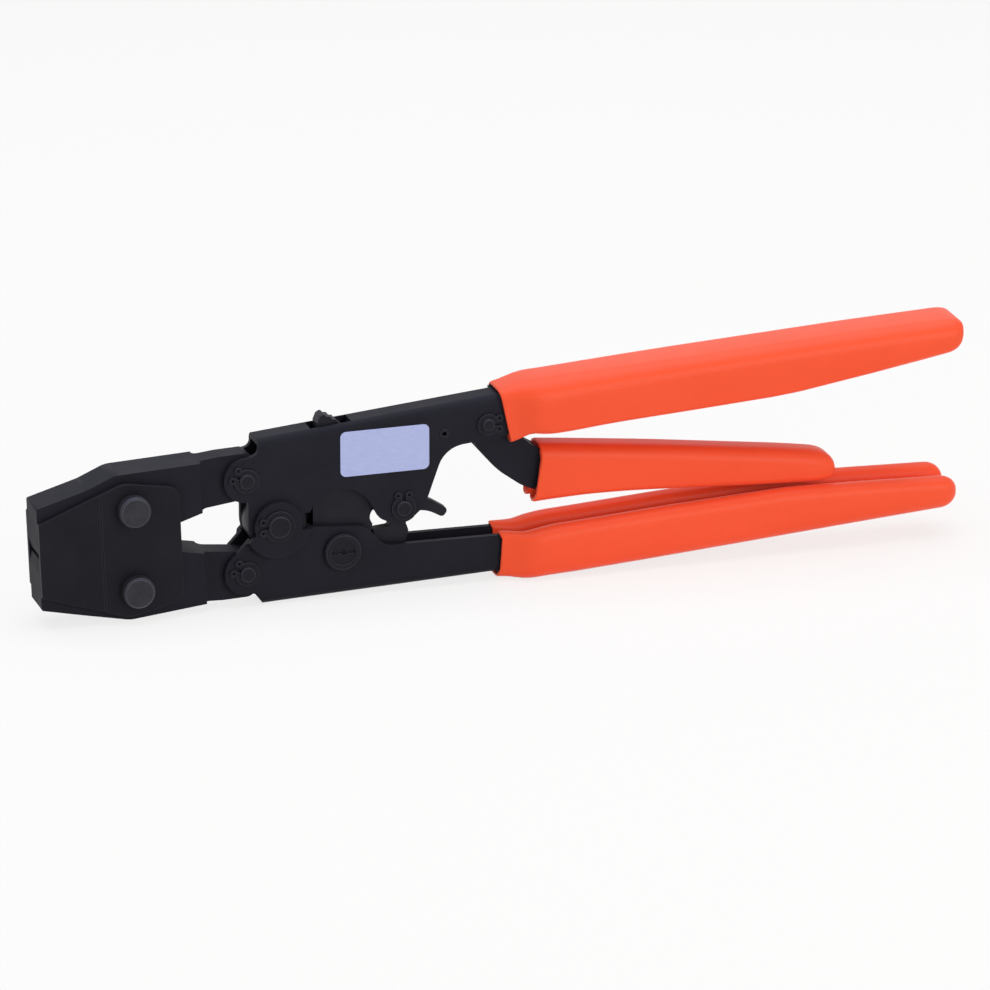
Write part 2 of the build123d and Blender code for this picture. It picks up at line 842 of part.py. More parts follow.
def make_lever_grip(lever):
    """Dipped sleeve over the rear run of the lever, with an open mouth and a groove below."""
    half = lever_grip_width / 2
    solid = slab(lever_grip_side(), -half, half)
    rims = solid.edges().group_by(Axis.Y)
    solid = fillet(rims[0] + rims[-1], lever_grip_edge)
    start, end = lever_grip_start, lever_grip_end
    under = 2 * lever_elbow_drop
    roof = lever_sheet + grip_coat
    low = [(end - lever_inset, lever_low(end) - under), (start - under, lever_low(end) - under)]
    top = [(start - under, lever_high(start) - roof), (start, lever_high(start) - roof)]
    top += [(end - lever_inset, lever_high(end - lever_inset) - roof)]
    groove = make_face(Polyline(*top, *low, close=True).edges())
    solid -= slab(groove, -lever_groove / 2, lever_groove / 2)
    deep = start + lever_mouth
    mouth_top = lever_high(start) + lever_mouth_room
    mouth = [(start - under, mouth_top + 4.0), (start - 2, mouth_top + 0.4)]
    mouth += [(deep, lever_high(deep) + lever_mouth_room)]
    mouth += [(deep, lever_low(end) - under), (start - under, lever_low(end) - under)]
    room = lever_thickness / 2 + lever_mouth_room
    solid -= slab(make_face(Polyline(*mouth, close=True).edges()), -room, room)
    return solid - lever


# Ratchet


def teeth(radius, pitch, depth, low, high):
    """Saw tooth notches along an arc about the main pivot."""
    count = int((high - low) / pitch)
    notches = []
    for i in range(count):
        a = low + i * pitch
        root = polar(radius - depth, a + 0.1 * pitch)
        points = [polar(radius + 0.5, a), root, polar(radius + 0.5, a + 0.92 * pitch)]
        notches.append(make_face(Polyline(*points, close=True).edges()))
    return notches


def sector_side():
    """Side outline of the ratchet sector."""
    low = polar(sector_radius, sector_low_angle)
    high = polar(sector_radius, sector_high_angle)
    wedge = outline(
        (sector_edge, adjuster_z - 3),
        (low[0] - 2.0, adjuster_z - 2),
        (low[0] + 1.5, low[1]),
        polar(sector_radius + 6, sector_low_angle + 16),
        polar(sector_radius + 6, sector_high_angle - 16),
        high,
        polar(drive_radius, drive_low_angle),
        polar(drive_radius - drive_band, drive_low_angle + 4),
        (sector_edge, sector_edge * 0.85, 3.0),
    )
    shape = wedge & disc((0, 0), sector_radius)
    band = disc((0, 0), drive_radius) - disc((0, 0), drive_radius - drive_band)
    fan = make_face(Polyline(
        (0, 0),
        polar(2 * drive_radius, drive_low_angle - 6),
        polar(2 * drive_radius, drive_high_angle),
        close=True,
    ).edges())
    shape += band & fan
    arm = outline(
        (0, -sector_hub_radius),
        (adjuster_x, adjuster_z - adjuster_boss_radius),
        (adjuster_x, adjuster_z + adjuster_boss_radius),
        (sector_edge, shoulder_height - 0.6),
        (0, 4.0),
    )
    shape += arm
    shape += disc((0, 0), sector_hub_radius)
    shape += disc(adjuster_at, adjuster_boss_radius)
    scallop_reach = sector_radius + scallop_radius - 1.1
    shape -= disc(polar(scallop_reach, -2.6), scallop_radius)
    shape -= teeth(sector_radius, hold_pitch, hold_depth, 2.0, sector_high_angle - 1.0)
    shape -= teeth(drive_radius, drive_pitch, drive_depth, drive_low_angle + 4.0, drive_high_angle - 1.0)
    return shape


def make_ratchet_sector():
    """Toothed sector that turns with the lower handle."""
    half = sector_thickness / 2
    shape = sector_side() - disc((0, 0), main_pin_radius + running)
    shape -= disc(adjuster_at, cam_radius + screw_throw + running)
    solid = slab(shape, -half, half)
    window = Pos(sector_shelf_radius, 0) * Rectangle(2 * shelf_reach, 2 * shelf_reach)
    shelf = disc((0, 0), sector_shelf_radius) & window
    shelf -= disc((0, 0), sector_hub_radius - 1)
    return solid + slab(shelf, half - sector_shelf, half)


def make_holding_pawl():
    """Bell crank plate with a ratchet toe, a release finger and a seat for its spring."""
    half = pawl_thickness / 2
    toe = polar(sector_radius + tooth_gap, -10.2)
    boot = outline(
        (pawl_x - 4.2, pawl_z),
        (pawl_x - 4.2, -5.6, 0.8),
        toe,
        (toe[0] + 1.2, toe[1] - 4.6),
        (pawl_x - 2.6, rail_height - 1.7, 1.5),
        (pawl_x + 0.8, rail_height - 1.5, 1.5),
        (pawl_x + 2.6, rail_height + 3.7, 2.0),
        (pawl_x + 1.6, -5.0, 1.0),
        (pawl_x + 3.6, pawl_z),
    )
    shape = boot + disc(pawl_pin_at, pawl_hub_radius)
    bar = outline(
        (0, -finger_under),
        (finger_bend, -finger_under, 10.0),
        (finger_reach - 1.6, -finger_drop, 1.4),
        (finger_reach, finger_tip - finger_drop, 1.5),
        (finger_bend - 0.4, finger_top, 12.0),
        (0, finger_top),
    )
    finger = Pos(pawl_x, pawl_z) * Rot(0, 0, finger_angle) * bar
    inner = pawl_hub_thickness - half
    solid = slab(shape + finger, -half, inner)
    seat = Pos(pawl_x, pawl_z) * Rot(0, 0, finger_angle) * (bar & Rectangle(2 * finger_seat, 4 * finger_top))
    solid += slab(seat - disc(pawl_pin_at, pawl_hub_radius + 0.8), inner, half)
    return solid - rod(pawl_pin_at, small_pin_radius + running, -half, half)


def make_drive_pawl():
    """Push bar from the lever crank to the top of the sector, with a thumb tab."""
    half = drive_thickness / 2
    low = drive_bar_height / 2
    tip = polar(drive_radius + tooth_gap, drive_low_angle + 13)
    tab_low = polar(drive_radius + tooth_gap, drive_low_angle + 3)
    run_z = upper_web(tab_start + 9) - sheet - 2.9
    tab_top = upper_web(tab_start + 2.5) + tab_rise
    bar = outline(
        (crank_at[0], crank_at[1] - low),
        (crank_at[0], crank_at[1] + low),
        (tab_start + 9.0, run_z + low),
        (tab_start + 2.0, run_z + low - 1.2),
        (tip[0] + 0.6, tip[1] + 2.2),
        tip,
        tab_low,
        (tab_low[0] + 5.0, run_z - low),
    )
    bar += disc(crank_at, drive_eye_radius)
    bar -= disc(crank_at, crank_pin_radius + running)
    solid = slab(bar, -half, half)
    tab = outline(
        (tab_start, run_z - 1.0),
        (tab_start, tab_top - 3.1),
        (tab_start + 0.9, tab_top - 0.9, 0.8),
        (tab_start + 2.5, tab_top, 0.8),
        (tab_start + 3.4, tab_top - 1.1),
        (tab_start + 4.6, tab_top - 1.2),
        (tab_start + 5.4, tab_top - 2.2),
        (tab_start + 6.6, tab_top - 2.4),
        (tab_start + 7.2, tab_top - 3.3),
        (tab_start + 9.0, tab_top - 4.6),
        (tab_start + 9.0, run_z - 1.0),
    )
    return solid + slab(tab, -tab_thickness / 2, tab_thickness / 2)


# Pins, clips and screw


def make_pin(center, radius, grip):
    """Headed pin across the tool with a clip groove on its near end."""
    near = -grip - clip_thickness - pin_overhang
    shank = rod(center, radius, near, grip)
    shank = chamfer(shank.edges().group_by(Axis.Y)[0], pin_overhang / 2)
    ring = rod(center, radius + 1, -grip - clip_thickness, -grip)
    ring -= rod(center, radius - groove_depth, -grip - clip_thickness, -grip)
    head = rod(center, radius + pin_head_rim, grip, grip + pin_head_height)
    head = chamfer(head.edges().group_by(Axis.Y)[-1], pin_head_height / 4)
    return shank - ring + head


def make_clip(center, radius, grip, angle):
    """Open retaining ring with two eared ends, seated in a pin groove."""
    inner = radius - groove_depth + running
    outer = radius + clip_width
    lug = clip_width * 0.85
    ring = Circle(outer) - Circle(inner)
    gap = Pos(outer, 0) * Rectangle(2 * outer, lug * 1.1)
    ring -= gap
    for side in (-1, 1):
        place = Pos(outer + lug * 0.2, side * lug * 1.5)
        ring += place * Circle(lug)
        ring -= place * Circle(lug * 0.42)
    ring -= Circle(inner)
    shape = Pos(center[0], center[1]) * Rot(0, 0, angle) * ring
    return slab(shape, -grip - clip_thickness + running, -grip - running)


def make_adjuster():
    """Slotted screw whose offset middle sets the sector against the handle."""
    end = half_width + screw_head_height
    shank = rod(adjuster_at, screw_shank_radius, -half_width, half_width + clip_thickness + pin_overhang)
    head = rod(adjuster_at, screw_head_radius, -end, -half_width)
    head = chamfer(head.edges().group_by(Axis.Y)[0], 0.5)
    recess = rod(adjuster_at, screw_head_radius - 1.9, -end, -end + 0.5)
    slot = Pos(adjuster_x, -end, adjuster_z) * Box(2 * screw_head_radius - 4.4, 2.6, screw_slot)
    dimple = rod(adjuster_at, 1.1, -end, -end + 1.6)
    throw_at = (adjuster_x + screw_throw, adjuster_z)
    middle = rod(throw_at, cam_radius, -sector_thickness / 2, sector_thickness / 2)
    groove = rod(adjuster_at, screw_shank_radius + 1, half_width, half_width + clip_thickness)
    groove -= rod(adjuster_at, screw_shank_radius - groove_depth, half_width, half_width + clip_thickness)
    return shank + head + middle - recess - slot - dimple - groove


def make_adjuster_clip():
    """Retaining ring on the far end of the adjuster."""
    clip = make_clip(adjuster_at, screw_shank_radius, half_width, 90)
    return mirror(clip, about=Plane.XZ)


# Springs


def biarc(start, start_dir, end, end_dir):
    """Two arcs that join two points along given directions."""
    v = end - start
    t = start_dir + end_dir
    a = 2 * (1 - start_dir.dot(end_dir))
    b = 2 * v.dot(t)
    c = -v.dot(v)
    reach = (-b + sqrt(b * b - 4 * a * c)) / (2 * a) if a > 1e-9 else -c / b
    p = start + start_dir * reach
    q = end - end_dir * reach
    middle = (p + q) / 2
    return [
        Edge.make_tangent_arc(start, start_dir, middle),
        Edge.make_tangent_arc(middle, (q - p).normalized(), end),
    ]


def coil_points(origin, axis, side, up, radius, pitch, start, sweep_angle):
    """Points about a quarter turn apart along a coil, with the direction at each."""
    steps = round(sweep_angle / 90)
    rows = []
    for i in range(steps + 1):
        turn = sweep_angle * i / steps
        a = radians(start + turn)
        point = origin + side * (radius * cos(a)) + up * (radius * sin(a)) + axis * (pitch * turn / 360)
        run = (up * cos(a) - side * sin(a)) * radius + axis * (pitch / radians(360))
        rows.append((point, run.normalized()))
    return rows


def wire_edges(points):
    """Straight lines and arcs through points with directions."""
    edges = []
    for (p, d), (q, e) in zip(points, points[1:]):
        run = (q - p).normalized()
        if run.dot(d) > 0.999999 and run.dot(e) > 0.999999:
            edges.append(Edge.make_line(p, q))
        else:
            edges += biarc(p, d, q, e)
    return edges


def own_gap(edges, wire):
    """Least gap of a bent wire to itself, from points along its middle line."""
    points = []
    reach = 0.0
    for edge in edges:
        count = max(4, int(edge.length / 0.15))
        for i in range(count):
            points.append((edge @ (i / count), reach + edge.length * i / count))
        reach += edge.length
    least = reach
    for i, (p, s) in enumerate(points):
        for q, t in points[i + 1:]:
            if t - s > 6 * wire:
                least = min(least, (q - p).length)
    return least - 2 * wire


def wire_tube(name, points, wire):
    """Round wire swept through points with directions."""
    edges = wire_edges(points)
    print(name, "least gap to itself", round(own_gap(edges, wire), 3))
    profile = Plane(origin=points[0][0], z_dir=points[0][1]) * Circle(wire)
    return sweep(profile, path=Wire(edges))


def make_lever_spring():
    """Extension coil with a hook round the anchor pin and one round the lug pin of the lever."""
    a = Vector(anchor_x, 0, anchor_z)
    b = Vector(lug_at[0], 0, lug_at[1])
    axis = (b - a).normalized()
    side = Vector(0, 1, 0).cross(axis)
    up = axis.cross(side)
    pitch = 2 * lever_wire + coil_gap
    first = anchor_pin_radius + lever_wire + running
    last = lug_pin_radius + lever_wire + running
    start = a + axis * (((b - a).length + first - last - pitch * lever_coil_turns) / 2)
    coil = coil_points(start, axis, side, up, lever_coil_radius, pitch, -90, 360 * lever_coil_turns)
    rows = [(a + side * first, -axis), (a - axis * first, -side), (a - side * first, axis)]
    rows += coil
    rows += [(b - side * last, axis), (b + axis * last, side), (b + side * last, -axis)]
    return wire_tube("lever_return_spring", rows, lever_wire)


def make_pawl_spring():
    """Torsion coil beside the pawl hub, with one leg on the finger and one on the anchor pin."""
    pitch = 2 * pawl_wire + coil_gap
    low = pawl_hub_thickness - pawl_thickness / 2 + pawl_wire + slip
    origin = Vector(pawl_x, low, pawl_z)
    rest = finger_top + pawl_wire + running
    lean = degrees(asin((pawl_coil_radius - rest) / pawl_leg))
    start = finger_angle + 90 - lean
    far_x, far_z = anchor_x - pawl_x, anchor_z - pawl_z
    touch = pawl_coil_radius - anchor_pin_radius - pawl_wire - running
    reach = hypot(far_x, far_z)
    stop = degrees(atan2(far_z, far_x) - acos(touch / reach))
    sweep_angle = 360 + (stop - start) % 360
    coil = coil_points(
        origin, Vector(0, 1, 0), Vector(1, 0, 0), Vector(0, 0, 1), pawl_coil_radius, pitch, start, sweep_angle
    )
    first, first_dir = coil[0]
    last, last_dir = coil[-1]
    flat_first = Vector(first_dir.X, 0, first_dir.Z).normalized()
    flat_last = Vector(last_dir.X, 0, last_dir.Z).normalized()
    coil[0] = (first, flat_first)
    coil[-1] = (last, flat_last)
    rows = [(first - flat_first * pawl_leg, flat_first)]
    rows += coil
    rows += [(last + flat_last * (sqrt(reach**2 - touch**2) + 1), flat_last)]
    return wire_tube("pawl_spring", rows, pawl_wire)


def make_leaf_spring():
    """Bowed leaf between the upper web and the drive pawl."""
    x0 = anchor_x - 2
    x1 = tab_start + 16
    mid = (x0 + x1) / 2
    top0 = upper_web(x0) - sheet / cos(radians(frame_web_angle)) - 0.02
    top1 = upper_web(x1) - sheet / cos(radians(frame_web_angle)) - 0.02
    bow = (top0 + top1) / 2 - leaf_bow
    upper = ThreePointArc((x0, top0), (mid, bow), (x1, top1))
    thick = leaf_thickness
    lower = ThreePointArc((x0, top0 - thick), (mid, bow - thick), (x1, top1 - thick))
    ends = [Line(upper @ 0, lower @ 0), Line(upper @ 1, lower @ 1)]
    shape = make_face([upper.edge(), lower.edge(), ends[0].edge(), ends[1].edge()])
    return slab(shape, -leaf_width / 2, leaf_width / 2)


def make_label():
    """Blank label on the near side plate of the upper frame."""
    place = Pos(label_x, label_z) * Rot(0, 0, label_tilt)
    shape = place * RectangleRounded(label_length, label_height, label_corner)
    return slab(shape, -half_width - label_thickness, -half_width)


def build():
    """All nodes by name around the main pivot."""
    frame = make_upper_frame()
    handle = make_lower_handle()
    lever = make_squeeze_lever()
    nodes = {
        "upper_jaw": make_jaw(1, tail_pin_up, running),
        "lower_jaw": make_jaw(-1, tail_pin_down, open_pivot),
        "jaw_plate_near": make_jaw_plate(-1),
        "jaw_plate_far": make_jaw_plate(1),
        "upper_jaw_rivet": make_jaw_rivet(1),
        "lower_jaw_rivet": make_jaw_rivet(-1),
        "upper_frame": frame,
        "lower_handle": handle,
        "squeeze_lever": lever,
        "upper_grip": make_upper_grip(frame),
        "lower_grip": make_lower_grip(handle),
        "lever_grip": make_lever_grip(lever),
        "ratchet_sector": make_ratchet_sector(),
        "holding_pawl": make_holding_pawl(),
        "drive_pawl": make_drive_pawl(),
        "main_pivot_pin": make_pin((0, 0), main_pin_radius, ear_out),
        "main_circlip": make_clip((0, 0), main_pin_radius, ear_out, 180),
        "upper_tail_pin": make_pin(tail_pin_up, small_pin_radius, half_width),
        "upper_tail_circlip": make_clip(tail_pin_up, small_pin_radius, half_width, 150),
        "lower_tail_pin": make_pin(tail_pin_down, small_pin_radius, half_width),
        "lower_tail_circlip": make_clip(tail_pin_down, small_pin_radius, half_width, 150),
        "pawl_pin": make_pin(pawl_pin_at, small_pin_radius, half_width),
        "pawl_circlip": make_clip(pawl_pin_at, small_pin_radius, half_width, 90),
        "lever_pin": make_pin(lever_pin_at, lever_pin_radius, half_width),
        "lever_circlip": make_clip(lever_pin_at, lever_pin_radius, half_width, 0),
        "crank_pin": rod(crank_at, crank_pin_radius, -lever_thickness / 2, lever_thickness / 2),
        "adjuster_screw": make_adjuster(),
        "adjuster_clip": make_adjuster_clip(),
        "pawl_spring": make_pawl_spring(),
        "drive_leaf_spring": make_leaf_spring(),
    }
    anchor = rod(anchor_at, anchor_pin_radius, -half_width - 0.3, half_width + 0.3)
    nodes["spring_anchor_pin"] = anchor - rod(anchor_at, anchor_pin_bore, -ear_out, ear_out)
    nodes["lever_return_spring"] = make_lever_spring()
    nodes["lug_pin"] = rod(lug_at, lug_pin_radius, -lever_thickness / 2, lever_thickness / 2)
    nodes["blank_label"] = make_label()
    return nodes


nodes = build()
box = Compound([s.solid() for s in nodes.values()]).bounding_box()
shift = Pos(-box.center().X, -box.center().Y, -box.min.Z)
os.makedirs("parts", exist_ok=True)
for name, solid in nodes.items():
    export_step(shift * solid, f"parts/{name}.step")
print("size", round(box.size.X, 3), round(box.size.Y, 3), round(box.size.Z, 3))
print("shift", shift.position.X, shift.position.Y, shift.position.Z)
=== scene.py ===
import json
from math import cos, pi, radians, sin, tan

import bmesh
import bpy
from mathutils import Matrix, Vector


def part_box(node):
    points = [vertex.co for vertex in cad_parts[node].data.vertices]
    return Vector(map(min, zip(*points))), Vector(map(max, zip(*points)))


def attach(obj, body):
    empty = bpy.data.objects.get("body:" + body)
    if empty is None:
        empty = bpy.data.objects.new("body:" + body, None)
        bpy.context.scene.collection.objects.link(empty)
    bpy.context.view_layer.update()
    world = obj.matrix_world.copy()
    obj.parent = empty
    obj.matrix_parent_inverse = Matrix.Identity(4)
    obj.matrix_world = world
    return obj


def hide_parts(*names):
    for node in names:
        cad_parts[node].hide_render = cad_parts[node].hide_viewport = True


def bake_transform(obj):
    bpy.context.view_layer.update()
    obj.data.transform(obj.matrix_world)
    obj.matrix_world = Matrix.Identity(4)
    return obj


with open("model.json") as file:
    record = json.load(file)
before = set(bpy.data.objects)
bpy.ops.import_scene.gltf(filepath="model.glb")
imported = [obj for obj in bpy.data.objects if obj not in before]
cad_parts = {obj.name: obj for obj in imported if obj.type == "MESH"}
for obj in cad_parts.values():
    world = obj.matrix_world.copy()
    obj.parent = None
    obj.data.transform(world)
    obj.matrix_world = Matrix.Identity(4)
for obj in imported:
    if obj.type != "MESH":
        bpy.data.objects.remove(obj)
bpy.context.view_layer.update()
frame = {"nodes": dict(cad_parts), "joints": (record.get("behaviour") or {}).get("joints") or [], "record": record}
nodes = frame["nodes"]
MM = 0.001
PIVOT = Vector(next(j["pos_m"] for j in frame["joints"] if j["name"] == "main_hinge"))

# Handle sheets, in millimetres from the main pivot and degrees
SHEET = 2.0
WEB_BEND = 77.2
FLARE_START = 81.0
FLARE_END = 90.0
NARROW_HALF = 6.0
WIDE_HALF = 9.4
UPPER_WEB = (30.56, 5.1, 2.95)
LOWER_WEB = (-27.94, 1.86, 3.75)
GRIP_BEND = 180.0

# Dipped coats, in millimetres
SIDE_COAT = 2.2
RIM_COAT = 1.7
UPPER_GROOVE = 6.0
LOWER_GROOVE = 3.6
GROOVE_COAT = 1.5
RING_STEP = 2.5
SOFTEN = 3.5
BULGE = 1.3

# Rounded lip of a coat's open end, as steps back along the handle and inwards
LIP = [(0.25, 1.0), (0.05, 0.75), (0.0, 0.5), (0.1, 0.22), (0.45, 0.05), (0.9, 0.0)]

# Squeeze lever, in millimetres
LEVER_X = 73.6
LEVER_DROP = 9.3
LEVER_ENDS = (92.2, 198.6)

# Finishes, with sizes in millimetres
TURNING_PITCH = 0.8
PLATE_EDGE = 0.5
COOL = (0.95, 0.93, 1.28)
COOL_SHINE = (0.90, 0.91, 1.0, 1)

# Stage, in metres and degrees, with the share of the floor that is seen through
FLOOR_SIZE = 6.0
FLOOR_DROP = 0.0004
FLOOR_CLEAR = 0.78
VIEW_ANGLE = 7.0
AZIMUTH = -17.5
ELEVATION = 19.2
CAMERA_PLACE = PIVOT + Vector((-0.69678, -2.45743, 0.89748))


# Lines and sections


def between(x, rows):
    """Value at x on a broken line through rows of (x, value), carried on past its ends."""
    for (x0, v0), (x1, v1) in zip(rows, rows[1:]):
        if x < x1 or x1 == rows[-1][0]:
            return v0 + (v1 - v0) * (x - x0) / (x1 - x0)


def soft_line(rows, reach=SOFTEN):
    """A broken line with its corners rounded over a reach."""
    offsets = [reach * (i - 3) / 3 for i in range(7)]
    return lambda x: sum(between(x + d, rows) for d in offsets) / len(offsets)


def web(x, sizes):
    """Outer face of a channel web from its height at the pivot and the angles of its two runs."""
    height, front, rear = sizes
    bend = min(x, WEB_BEND)
    return height + bend * tan(radians(front)) + (x - bend) * tan(radians(rear))


def upper_web(x):
    """Top of the upper channel."""
    return web(x, UPPER_WEB)


def lower_web(x):
    """Underside of the lower channel."""
    return web(x, LOWER_WEB)


def lever_high(x):
    """Upper edge of the lever."""
    pin_z = upper_web(LEVER_X) - LEVER_DROP
    return pin_z - between(x, [(LEVER_ENDS[0], 12.6), (LEVER_ENDS[1], 25.6)])


def arc(y, z, radius, start, stop, steps):
    """Points of an arc in a cross section."""
    angles = [radians(start + (stop - start) * i / steps) for i in range(steps + 1)]
    return [(y + radius * cos(a), z + radius * sin(a)) for a in angles]


def channel_ring(half, top, low, groove, floor, corner, hem=None):
    """Cross section of a coated channel that is open below, with its legs turned in under a hem."""
    slot, shelf = hem or (groove, low)
    tip = (half - slot) / 2
    inner = min(0.8 * groove, max(corner - (half - groove) / 2, 0.3))
    corner = min(corner, 0.9 * half)
    step = [(slot, shelf), (groove, shelf)] if hem else []
    ring = arc(half - corner, top - corner, corner, 0, 90, 8)
    ring += arc(corner - half, top - corner, corner, 90, 180, 8)
    ring += arc(-(half + slot) / 2, low + tip, tip, 180, 360, 8)
    ring += [(-y, z) for y, z in step]
    ring += arc(inner - groove, floor - inner, inner, 180, 90, 4)
    ring += arc(groove - inner, floor - inner, inner, 90, 0, 4)
    ring += step[::-1]
    ring += arc((half + slot) / 2, low + tip, tip, 180, 360, 8)
    return ring


# Meshes


def shade_smooth(obj, angle=35):
    """Smooth shading that keeps edges sharper than an angle."""
    for p in obj.data.polygons:
        p.use_smooth = True
    bm = bmesh.new()
    bm.from_mesh(obj.data)
    for e in bm.edges:
        e.smooth = len(e.link_faces) == 2 and e.calc_face_angle() < radians(angle)
    bm.to_mesh(obj.data)
    bm.free()


def loft(name, rings):
    """Closed mesh through rings of points, with a flat cap on each end."""
    bm = bmesh.new()
    rows = [[bm.verts.new(PIVOT + Vector(p) * MM) for p in ring] for ring in rings]
    count = len(rows[0])
    for a, b in zip(rows, rows[1:]):
        for i in range(count):
            k = (i + 1) % count
            bm.faces.new((a[i], a[k], b[k], b[i]))
    bm.faces.new(rows[0])
    bm.faces.new(reversed(rows[-1]))
    bmesh.ops.remove_doubles(bm, verts=bm.verts, dist=1e-7)
    bmesh.ops.recalc_face_normals(bm, faces=bm.faces)
    mesh = bpy.data.meshes.new(name)
    bm.to_mesh(mesh)
    bm.free()
    obj = bpy.data.objects.new(name, mesh)
    bpy.context.scene.collection.objects.link(obj)
    shade_smooth(obj, 60)
    return obj


def stations(span, recess, rounding, fullness):
    """Places along a sleeve: how far back, how far the lip is set in, and the share of the full section."""
    start, end = span
    rows = [(start + recess, LIP[0][1], 1.0)]
    rows += [(start + back, inset, 1.0) for back, inset in LIP]
    begin = rows[-1][0]
    count = int((end - rounding - begin) / RING_STEP)
    run = (end - rounding - begin) / count
    rows += [(begin + run * i, 0.0, 1.0) for i in range(1, count + 1)]
    for i in range(1, 11):
        a = radians(8.6 * i)
        rows.append((end - rounding + rounding * sin(a) ** fullness, 0.0, cos(a) ** fullness))
    return rows


def sleeve(name, lines, span, corner, front, recess, rounding, nose=0.5, fullness=0.8, flip=1):
    """Coated channel from an open lip to a full rounded rear end, open below or, flipped, above."""
    rings = []
    for x, inset, swell in stations(span, recess, rounding, fullness):
        half, top, low, groove, floor = (lines[k](x) for k in ("half", "top", "low", "groove", "floor"))
        wide, wall, rest = half, max(0.62 * half, groove + 0.6), low + nose * (top - low)
        roof = rest + (top - rest) * swell
        floor = roof - (top - floor) * swell + inset / 4
        top = max(roof - inset, floor + 0.2)
        half = wall + (half - wall) * swell - inset
        groove = wall - (wall - groove) * swell + inset / 4
        low = min(rest + (low - rest) * swell + inset, floor - (half - groove) / 2 - 0.05)
        fade = max(0.0, 1 - max(0.0, x - span[0]) / 14)
        hem = None
        if "slot" in lines:
            slot = min(groove, lines["slot"](x) + inset / 4) if swell == 1 else groove
            shelf = max(low + (half - slot) / 2 + 0.1, lines["shelf"](x) - inset / 2)
            hem = slot, min(shelf, floor - 0.5) if swell == 1 else low + (half - slot) / 2
        points = channel_ring(half, top, low, groove, floor, max(corner(x) * swell - inset, 0.05), hem)
        bow = BULGE * (1 - swell) / wide ** 2
        rings.append([(x + front(z) * fade - bow * y * y, y, flip * z) for y, z in points])
    return loft(name, rings)


# Grips


def make_upper_grip():
    """Dipped grip of the upper handle."""
    start, end = 77.9, 243.1
    wide = WIDE_HALF + SIDE_COAT
    rim = NARROW_HALF + RIM_COAT
    swell = [(start, 1.6), (FLARE_START, 2.1), (85, 3.2), (FLARE_END, 3.85)]
    cover = soft_line(swell + [(205, 3.9), (end, 3.45)], 2.5)
    cuff = [(start, 17.0), (81, 16.6), (84.5, 15.2), (87.7, 14.15), (91, 14.65), (95, 15.2), (103, 15.15)]
    body = [(112, 14.75), (120, 14.55), (150, 14.33), (174, 14.05)]
    tail = [(183, 13.6), (209, 10.97), (226, 9.05), (end, 7.0)]
    legs = soft_line(cuff + body + tail, 2.0)
    roof = soft_line([(start, 2.4), (FLARE_END + 3, SHEET + GROOVE_COAT), (end, SHEET + GROOVE_COAT)])
    flare = [(start, rim), (FLARE_START + 0.5, rim + 0.3), (FLARE_END, wide), (end, wide)]
    slot = [(start, 3.4), (FLARE_START, 3.6), (FLARE_END + 3, UPPER_GROOVE), (end, UPPER_GROOVE)]
    lines = {
        "half": soft_line(flare, 2.5),
        "top": lambda x: upper_web(x) + cover(x),
        "low": lambda x: upper_web(x) - legs(x),
        "groove": soft_line(slot),
        "floor": lambda x: upper_web(x) - roof(x),
    }
    edge = [(start, 3.6), (FLARE_START, 4.0), (FLARE_END + 2, 7.8), (125, 6.4), (145, 6.0), (end, 6.0)]
    lean = tan(radians(12))
    rim_top = upper_web(start)

    def front(z):
        """Slant of the open end."""
        return (rim_top - z) * lean

    return sleeve("upper_grip_dip", lines, (start, end), soft_line(edge), front, 2.5, 7.0, 0.66)


def make_lower_grip():
    """Dipped grip of the lower handle."""
    start, end = 77.3, 241.6
    wide = WIDE_HALF + SIDE_COAT
    rim = NARROW_HALF + RIM_COAT
    swell = [(start, 1.7), (FLARE_START, 2.1), (86.5, 3.3), (FLARE_END + 3, 3.4)]
    cover = soft_line(swell + [(104, 3.65), (129, 3.72), (175, 3.55), (198, 3.42), (end, 3.3)], 2.0)
    cuff = [(start, 14.55), (FLARE_START, 14.2), (86, 13.1), (90, 13.9), (97, 14.5), (105, 14.35)]
    legs = soft_line(cuff + [(137, 14.25), (GRIP_BEND, 13.5), (205, 11.3), (end, 7.6)], 2.5)
    roof = soft_line([(start, 2.4), (FLARE_END + 3, SHEET + GROOVE_COAT), (end, SHEET + GROOVE_COAT)])
    flare = [(start, rim), (FLARE_START - 1, rim + 0.2), (FLARE_END - 1.5, wide), (end, wide)]
    lines = {
        "half": soft_line(flare, 2.5),
        "top": lambda x: -lower_web(x) + cover(x),
        "low": lambda x: -lower_web(x) - legs(x),
        "groove": soft_line([(start, 3.4), (end, LOWER_GROOVE)]),
        "floor": lambda x: -lower_web(x) - roof(x),
    }
    corner = soft_line([(start, 3.4), (FLARE_START, 3.6), (FLARE_END + 2, 5.2), (end, 5.2)])
    bow = soft_line([(9, 0.0), (11, 0.0), (14.5, 1.6), (21, 1.6), (24.3, 0.0), (27, -0.6)], 1.2)
    return sleeve("lower_grip_dip", lines, (start, end), corner, bow, 2.5, 6.2, fullness=1.0, flip=-1)


